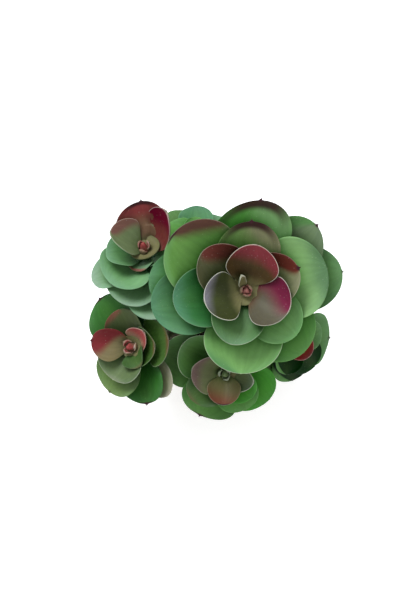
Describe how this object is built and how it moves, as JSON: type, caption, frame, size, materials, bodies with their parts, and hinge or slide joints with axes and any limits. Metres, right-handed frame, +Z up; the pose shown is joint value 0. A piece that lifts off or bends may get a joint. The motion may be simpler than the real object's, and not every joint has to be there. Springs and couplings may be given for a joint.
{
  "type": "potted echeveria",
  "caption": "Potted succulent: a large leafy rosette with smaller rosettes on bent stems around it, in a plain tapered round pot with a collar, filled with soil.",
  "frame": {"origin": "middle of the underside of the pot's foot, on the surface that it stands on", "axes": "+Z up along the pot's axis, -Y towards the viewer, the side that the large rosette leans to, +X to the viewer's right"},
  "size_m": [0.1579, 0.1375, 0.1462],
  "materials": {
    "clay": "matte",
    "earth": "matte",
    "leaf_large": "satin",
    "leaf_back_left": "satin",
    "leaf_front_left": "satin",
    "leaf_front": "satin",
    "leaf_front_right": "satin",
    "leaf_back": "satin"
  },
  "bodies": {
    "root": {"pot": "clay", "soil": "earth", "head_large": "leaf_large", "head_back_left": "leaf_back_left", "head_front_left": "leaf_front_left", "head_front": "leaf_front", "head_front_right": "leaf_front_right", "head_back": "leaf_back"}
  },
  "joints": []
}
